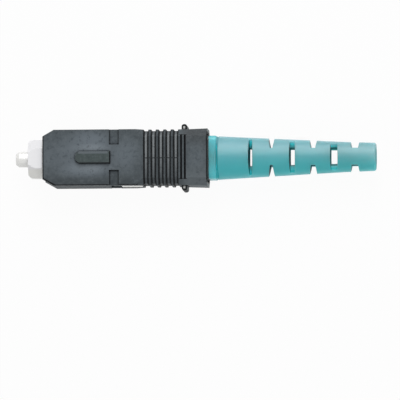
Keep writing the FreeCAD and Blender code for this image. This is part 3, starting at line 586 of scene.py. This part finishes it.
# %% Shades and specks
GRIP_FRONT = GRIP_START / MM
HOUSING_LIGHT_AND_SHADE = {
    # The near edge in front of the grip gets a painted shade.
    "near edge": ({"Y": (-2.4, -4.2), "X": (GRIP_FRONT, GRIP_FRONT - 2)}, 0.7, (0.050, 0.060, 0.066)),
    "far side of the rear": ({"X": (24.7, 25.7), "Y": (1.0, 4.0)}, 1.0, (0.068, 0.076, 0.081)),
    "near side of the rear": ({"X": (24.7, 25.7), "Y": (-1.0, -4.0)}, 1.0, (0.124, 0.144, 0.156)),
    "top of the key": ({"Z": (3.9, 4.3)}, 1.0, (0.068, 0.087, 0.087)),
}
SPECKS = {
    "filler": ((0.5, 0.72), 0.4, (0.140, 0.160, 0.175)),
    "dust": ((0.5, 0.28), 0.5, (0.040, 0.048, 0.055)),
}


def specks(tree):
    """Pale and dark specks, as shares and colours."""
    noise = use_group(tree, mould_skin)["Speckle"]
    marks = []
    for fade, share, colour in SPECKS.values():
        marks.append((math_node(tree, "MULTIPLY", ramp(tree, noise, *fade), share), colour))
    return marks


print("shades:", ", ".join(HOUSING_LIGHT_AND_SHADE), "and specks:", ", ".join(SPECKS))

# %% [markdown]
# ## Thin lines on the housing
# Painted shade darkens the rims, the bar slots, the mouth and the outline of the key, a painted shadow
# lies on the key's near edge and walls, and painted highlights brighten the pull lugs' tops and flanks
# and the corners behind the mouth. Each of these is a thin box between two corners in mm. What is the
# same on the near and the far side is listed once, and its mask goes by the distance from the middle.

# %% Lines on the housing
# Painted highlight, on the pull lugs' tops.
PAINTED_HIGHLIGHT = (0.55, 0.56, 0.55)
# A dimmer painted highlight, on the lugs' flanks and behind the mouth.
PAINTED_DIM_HIGHLIGHT = (0.26, 0.27, 0.27)
SHADOW = (0.020, 0.024, 0.026)
# Painted shade along the rims, in the bar slots and round the key; painted shadow on the key's near edge and
# walls.
LINES_ON_HOUSING = {
    "parting line over the ribs": ((18.7, -0.23, 3.0), (24.4, -0.07, 4.0), (0.025, 0.029, 0.032)),
    "near rim": ((2.3, -4.7, 3.4), (29.2, -4.34, 4.0), PAINTED_SHADE),
    "rear rim": ((28.84, -4.7, 3.4), (29.2, 4.7, 4.0), PAINTED_SHADE),
    "bar slots": ((24.45, -3.58, 3.2), (25.75, 3.58, 3.6), PAINTED_SHADE),
    "rim of the front": ((2.3, -4.7, 3.3), (2.62, 3.7, 4.0), PAINTED_SHADE),
    "near side of the key": ((8.4, -1.0, 3.6), (13.3, -0.9, 3.75), PAINTED_SHADE),
    "near edge of the key": ((8.3, -0.96, 4.3), (13.3, -0.84, 4.6), SHADOW),
    "far edge of the key": ((8.3, 0.54, 4.3), (13.05, 1.0, 4.6), (0.125, 0.146, 0.160)),
    "end of the key": ((13.2, -1.1, 3.6), (13.42, 1.0, 3.75), PAINTED_SHADE),
    "walls of the key": ((7.7, -1.0, 3.74), (13.3, 1.0, 4.42), SHADOW),
}
# Painted highlights on the lugs and behind the mouth; painted shade in the mouth.
LINES_ON_BOTH_SIDES = {
    "pull lug": ((24.4, 4.55, -3.0), (25.72, 5.6, 3.0), (0.010, 0.012, 0.013)),
    "top of the pull lug": ((25.1, 4.58, 2.2), (25.42, 5.02, 3.0), PAINTED_HIGHLIGHT),
    "flank of the pull lug": ((25.72, 4.55, -3.0), (26.4, 5.6, 1.5), PAINTED_DIM_HIGHLIGHT),
    "mouth": ((28.9, 3.3, -3.9), (29.2, 4.12, 3.9), PAINTED_SHADE),
    "corner behind the mouth": ((28.96, 4.12, -3.9), (29.2, 4.7, 3.9), PAINTED_DIM_HIGHLIGHT),
}


def thin_lines(tree):
    """Thin lines of painted shade, painted shadow and painted highlight, and a parting line, as shares and
    colours.
    """
    along, across, high = place_on_part(tree)
    aside = math_node(tree, "ABSOLUTE", across)
    marks = []
    for lines, sideways in ((LINES_ON_HOUSING, across), (LINES_ON_BOTH_SIDES, aside)):
        for low, top, colour in lines.values():
            marks.append((in_box(tree, (along, sideways, high), low, top), colour))
    return marks


print("lines:", len(LINES_ON_HOUSING) + len(LINES_ON_BOTH_SIDES))

# %% [markdown]
# ## Painted shade in the front corner
# The corners of the housing's front are cut off at a slant, and a painted shade darkens the upper part
# of the near cut. A box can't follow a slant, so this mask measures the distance from the cut: the dot
# product with the direction across it gives how far a point lies behind it.

# %% Painted shade in the front corner
CUT_ACROSS = Vector((1.0, 1.85, 0.0)).normalized()
CUT_POINT = Vector((2.43, -3.5, 0.0)) * MM
CUT_FADE = (0.32 * MM, 0.22 * MM)
CUT_HEIGHT_FADE = (3.3 * MM, 3.45 * MM)


def corner_shade(tree):
    """Painted shade along the upper part of the slanted cut at the front's near corner, as a share and a
    colour.
    """
    to_cut = {"_0": spot_on_part(tree), "_1": CUT_ACROSS}
    distance = add(tree, "ShaderNodeVectorMath", {"operation": "DOT_PRODUCT"}, **to_cut).outputs["Value"]
    behind = math_node(tree, "SUBTRACT", distance, CUT_ACROSS.dot(CUT_POINT), clamp=False)
    upper = ramp(tree, place_on_part(tree)["Z"], *CUT_HEIGHT_FADE)
    return [(math_node(tree, "MULTIPLY", ramp(tree, behind, *CUT_FADE), upper), PAINTED_SHADE)]


print("cut across:", [round(value, 2) for value in CUT_ACROSS])

# %% [markdown]
# ## The housing
# The housing is a charcoal nylon with a spark-eroded, matte face. Its marks are laid over each other
# from the widest to the thinnest: rubbing and painted sheen first, then painted light and shade, specks,
# and painted shade on top.
# A low specular level keeps the dark plastic from turning grey under the bright room.

# %% The charcoal housing
def housing_marks(tree):
    """All marks of the housing, in the order in which they cover each other."""
    grip_greys, shade_at_feet = grip_marks(tree)
    wear_and_painted_light = paler_patches(tree) + soft_shades(tree, HOUSING_LIGHT_AND_SHADE) + grip_greys
    return wear_and_painted_light + specks(tree) + shade_at_feet + corner_shade(tree) + thin_lines(tree)


finishes["charcoal_plastic"] = moulded(
    "charcoal_plastic",
    dark=(0.060, 0.072, 0.080),
    light=(0.100, 0.118, 0.128),
    edge_colour=(0.14, 0.155, 0.165),
    # Crease colour: a near-black painted shade.
    crease=(0.003, 0.004, 0.005),
    gloss=(0.5, 0.68),
    grain=0.006 * MM,
    crease_share=0.95,
    marks=housing_marks,
    Specular_IOR_Level=0.12,
)
print("nodes in the housing's finish:", len(finishes["charcoal_plastic"].node_tree.nodes))

# %% [markdown]
# ## Places on the boot
# The boot is a cone behind a smooth collar, with slots that are cut through to its bore. A box for each
# slot would be one way to find them. Depth is a shorter one: the points of every slot lie below the cone
# that the boot's skin forms, so these helpers measure the distance from the axis and from that cone.

# %% Places on the boot
COLLAR_END = 30.4 * MM
COLLAR_SOFT = 0.1 * MM
SKIN_RADIUS = 3.515 * MM
SKIN_TAPER = 0.0519


def radius_on_boot(tree):
    """How far a point lies from the connector's axis."""
    _, across, high = place_on_part(tree)
    from_axis = add(tree, "ShaderNodeCombineXYZ", Y=across, Z=high).outputs[0]
    return add(tree, "ShaderNodeVectorMath", {"operation": "LENGTH"}, _0=from_axis).outputs["Value"]


def depth_in_boot(tree):
    """How far a point lies below the cone of the boot's skin, which starts at the collar."""
    past_collar = math_node(tree, "SUBTRACT", place_on_part(tree)["X"], COLLAR_END, clamp=False)
    narrower = math_node(tree, "MULTIPLY", past_collar, SKIN_TAPER, clamp=False)
    skin_here = math_node(tree, "SUBTRACT", SKIN_RADIUS, narrower, clamp=False)
    return math_node(tree, "SUBTRACT", skin_here, radius_on_boot(tree), clamp=False)


def on_collar(tree):
    """1 on the smooth collar in front of the boot's cone."""
    return ramp(tree, place_on_part(tree)["X"], COLLAR_END + COLLAR_SOFT, COLLAR_END - COLLAR_SOFT)


print("boot's skin in mm:", round(SKIN_RADIUS / MM, 3), "at x", round(COLLAR_END / MM, 2))

# %% [markdown]
# ## Marks on the boot
# The boot gets a painted sheen on its far flank, painted light in its slots and on its collar, and
# painted shade on the slots' walls, in its bore and where it goes into the housing's mouth. The sheen
# follows the angle round the axis. The walls of a slot are told from its floor by the way they face,
# along the axis.

# %% Marks on the boot
SHEEN_FADE = (math.radians(-45), math.radians(47))
SLOT_FADE = (0.15 * MM, 0.4 * MM)
WALL_FADE = (0.03 * MM, 0.15 * MM)
WALL_FACING = (0.5, 0.9)
LAST_SLOT_FADE = (55.7 * MM, 55.6 * MM)
BORE_FADE = (2.06 * MM, 1.92 * MM)
MOUTH_FADE = (29.27 * MM, 29.17 * MM)
# Painted sheen, painted light in the slots, painted shade in the bore and on the walls, painted light on the
# collar, painted shade in the mouth.
PAINTED_SHEEN = (0.140, 0.415, 0.475)
PAINTED_SLOT_LIGHT = (0.060, 0.640, 0.730)
PAINTED_BORE_SHADE = (0.0, 0.06, 0.07)
PAINTED_WALL_SHADE = (0.0, 0.05, 0.06)
PAINTED_COLLAR_LIGHT = (0.058, 0.570, 0.660)
PAINTED_MOUTH_SHADE = (0.001, 0.012, 0.014)


def boot_marks(tree):
    """Painted sheen on one flank, painted light in the slots and on the collar, painted shade on walls, bore
    and mouth.
    """
    along, across, high = place_on_part(tree)
    depth = depth_in_boot(tree)
    painted_sheen = ramp(tree, math_node(tree, "ARCTAN2", across, high, clamp=False), *SHEEN_FADE)
    normal = add(tree, "ShaderNodeTexCoord").outputs["Normal"]
    facing = math_node(tree, "ABSOLUTE", add(tree, "ShaderNodeSeparateXYZ", Vector=normal).outputs["X"])
    # The slots' walls take a painted shade.
    wall = math_node(tree, "MULTIPLY", ramp(tree, depth, *WALL_FADE), ramp(tree, facing, *WALL_FACING))
    wall = math_node(tree, "MULTIPLY", wall, ramp(tree, along, *LAST_SLOT_FADE))
    return [
        (painted_sheen, PAINTED_SHEEN),
        (ramp(tree, depth, *SLOT_FADE), PAINTED_SLOT_LIGHT),
        (ramp(tree, radius_on_boot(tree), *BORE_FADE), PAINTED_BORE_SHADE),
        (wall, PAINTED_WALL_SHADE),
        (on_collar(tree), PAINTED_COLLAR_LIGHT),
        (ramp(tree, along, *MOUTH_FADE), PAINTED_MOUTH_SHADE),
    ]


print("bloom from and to, in degrees:", [round(math.degrees(angle)) for angle in SHEEN_FADE])

# %% [markdown]
# ## The boot
# The boot is a soft aqua elastomer. Light wanders inside it, so it gets subsurface colour, and a thin,
# waxy coat gives its skin a wide shine. The coat could cover all of it, but then the slots would look
# milky, so a mask keeps it to the skin and the collar.

# %% The aqua boot
COAT_FADE = (0.2 * MM, 0.03 * MM)


def boot_coat(tree):
    """The waxy coat is on the boot's skin and on its collar, and not in its slots."""
    return math_node(tree, "MAXIMUM", on_collar(tree), ramp(tree, depth_in_boot(tree), *COAT_FADE))


finishes["aqua_elastomer"] = moulded(
    "aqua_elastomer",
    dark=(0.012, 0.452, 0.502),
    light=(0.020, 0.482, 0.532),
    edge_colour=(0.06, 0.48, 0.52),
    crease_share=0.0,
    gloss=(0.4, 0.5),
    grain=0.001 * MM,
    marks=boot_marks,
    coat=boot_coat,
    Specular_IOR_Level=0.1,
    Coat_Roughness=0.46,
    Coat_IOR=1.65,
    Subsurface_Weight=1.0,
    Subsurface_Radius=(1.0, 1.0, 1.0),
    Subsurface_Scale=5 * MM,
)
print("nodes in the boot's finish:", len(finishes["aqua_elastomer"].node_tree.nodes))

# %% [markdown]
# ## The plug frame
# The plug frame is a satin white plastic that hardly shows its clouds, but it isn't the same white all
# round: the wide face is brighter with painted light, and the near flank is darker and a little warmer
# with painted shade. Two soft steps, one across and one up, are enough for that.

# %% The white plug frame
FRAME_LIGHT_AND_SHADE = {
    # Painted shade on the near flank, painted light on the wide face.
    "near flank": ({"Y": (-1.5, -2.0)}, 1.0, (0.82, 0.82, 0.79)),
    "wide face": ({"Z": (2.55, 2.65)}, 1.0, (0.915, 0.915, 0.935)),
}


def frame_marks(tree):
    """Painted shade on the near flank and painted light on the wide face."""
    return soft_shades(tree, FRAME_LIGHT_AND_SHADE)


finishes["white_plastic"] = moulded(
    "white_plastic",
    dark=(0.82, 0.82, 0.84),
    light=(0.87, 0.87, 0.89),
    edge_colour=(0.90, 0.90, 0.91),
    gloss=(0.34, 0.46),
    grain=0.002 * MM,
    marks=frame_marks,
)
print("shades of the plug frame:", ", ".join(FRAME_LIGHT_AND_SHADE))

# %% [markdown]
# ## The inner mouldings
# Rear body, retainer, cam sleeve, holder and splice hardly show, but they are finished too, for anyone
# who opens the part. They take the recipe without marks, because little rubs them once they are in
# their place. Only colours, gloss and grain differ, so they are rows of one table.

# %% Inner mouldings
INNER_MOULDINGS = {
    "inner_plastic": {
        "dark": (0.020, 0.020, 0.022),
        "light": (0.030, 0.030, 0.032),
        "edge_colour": (0.06, 0.06, 0.065),
        "gloss": (0.4, 0.55),
        "grain": 0.004 * MM,
    },
    "cam_plastic": {
        "dark": (0.030, 0.031, 0.034),
        "light": (0.042, 0.043, 0.047),
        "edge_colour": (0.09, 0.09, 0.10),
        "gloss": (0.3, 0.42),
        "grain": 0.003 * MM,
    },
    "holder_plastic": {
        "dark": (0.50, 0.49, 0.46),
        "light": (0.57, 0.56, 0.53),
        "edge_colour": (0.64, 0.63, 0.60),
        "gloss": (0.4, 0.5),
        "grain": 0.003 * MM,
    },
    "splice_plastic": {
        "dark": (0.20, 0.20, 0.21),
        "light": (0.25, 0.25, 0.26),
        "edge_colour": (0.32, 0.32, 0.33),
        "gloss": (0.35, 0.5),
        "grain": 0.002 * MM,
    },
}

for name, look in INNER_MOULDINGS.items():
    finishes[name] = moulded(name, **look)
print("inner mouldings:", ", ".join(INNER_MOULDINGS))

# %% [markdown]
# ## The ferrule
# The ferrule is zirconia, a white ceramic that is ground and polished until it shines like glazed china.
# Pressed powder has faint clouds and a fine grain as plastics have, so the same recipe does for it, with
# a much lower grain. Its high index of refraction makes the strong, hard shine.

# %% The zirconia ferrule
ZIRCONIA_INDEX = 2.1

finishes["zirconia"] = moulded(
    "zirconia",
    dark=(0.84, 0.84, 0.82),
    light=(0.88, 0.88, 0.86),
    edge_colour=(0.92, 0.92, 0.91),
    gloss=(0.10, 0.16),
    grain=0.0004 * MM,
    IOR=ZIRCONIA_INDEX,
)
print("plastics and ceramic:", sorted(finishes))

# %% [markdown]
# ## Drawn metal
# The crimp tube is drawn brass with nickel on it, and the spring is bright wire. Drawing leaves fine
# lines along the metal. They could be a picture, but a noise that is stretched along the axis gives
# them at any size, and it varies tint, roughness and bumps alike.

# %% Metals
LINES_PER_METRE = 14000.0
LINES_DETAIL = 3.0
LINE_SHADE = 0.86
LINE_DEPTH = 0.001 * MM


def drawn_metal(name, colour, gloss, stretch):
    """Metal with fine drawing lines: noise that is stretched along X where stretch is below 1."""
    finish, tree, shader = principled(name, Metallic=1.0)
    spot = add(tree, "ShaderNodeMapping", Vector=spot_on_part(tree), Scale=(stretch, 1.0, 1.0)).outputs[0]
    fine = {"Scale": LINES_PER_METRE, "Detail": LINES_DETAIL}
    lines = add(tree, "ShaderNodeTexNoise", Vector=spot, **fine).outputs[0]
    tint = mix_colours(tree, lines, (*(LINE_SHADE * value for value in colour), 1), (*colour, 1))
    rough = add(tree, "ShaderNodeMapRange", Value=lines, To_Min=gloss[0], To_Max=gloss[1]).outputs[0]
    bump = add(tree, "ShaderNodeBump", Distance=LINE_DEPTH, Height=lines).outputs[0]
    feed(tree, shader, Base_Color=tint, Roughness=rough, Normal=bump)
    return finish


finishes["crimp_metal"] = drawn_metal("crimp_metal", (0.62, 0.59, 0.53), gloss=(0.22, 0.4), stretch=0.04)
finishes["spring_steel"] = drawn_metal("spring_steel", (0.56, 0.57, 0.58), gloss=(0.18, 0.32), stretch=1.0)
print("metals:", "crimp_metal", "spring_steel")

# %% [markdown]
# ## Glass
# The fibre in the ferrule is clear drawn glass, about as thick as a hair. Glass needs nothing but its
# plain values on the shader and a trace of waviness, for which the clouds' noise is used as a very low
# bump.

# %% The glass fibre
GLASS_INDEX = 1.46
GLASS_TINT = (0.95, 0.97, 0.98, 1)
GLASS_ROUGHNESS = 0.02
GLASS_WAVE = 0.0001 * MM

clear = {"Base_Color": GLASS_TINT, "Transmission_Weight": 1.0, "IOR": GLASS_INDEX}
glass, tree, shader = principled("fibre_glass", Roughness=GLASS_ROUGHNESS, **clear)
clouds = use_group(tree, mould_skin)["Clouds"]
feed(tree, shader, Normal=add(tree, "ShaderNodeBump", Distance=GLASS_WAVE, Height=clouds).outputs[0])
finishes["fibre_glass"] = glass
print("finishes:", len(finishes))

# %% [markdown]
# ## Dressing the solids
# The record says which finish each solid takes, so the list there is followed instead of being typed
# again. A solid's old material slots are emptied first, because the import brings plain ones.

# %% Put the finishes on
for row in frame["record"]["subparts"]:
    solid = nodes[row["node"]]
    solid.data.materials.clear()
    solid.data.materials.append(finishes[row["material_slot"]])

# %% [markdown] ## A copy of the spring Behind the ferrule's flange sits a small compression spring. When
# the ferrule is pushed in, the real spring gets shorter, but a packed solid stays as long as it is, and
# the flange would cut into it. Here the spring is only copied as it is, shaded by angle and hung on the
# body, and the packed spring is hidden; the copy is not shortened.

coil = bpy.data.objects.new("pressed_spring", nodes["ferrule_spring"].data.copy())
scene.collection.objects.link(coil)
coil.modifiers.new("smooth_rounds", "NODES").node_group = smoother
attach(coil, "body")
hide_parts("ferrule_spring")
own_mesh(coil)
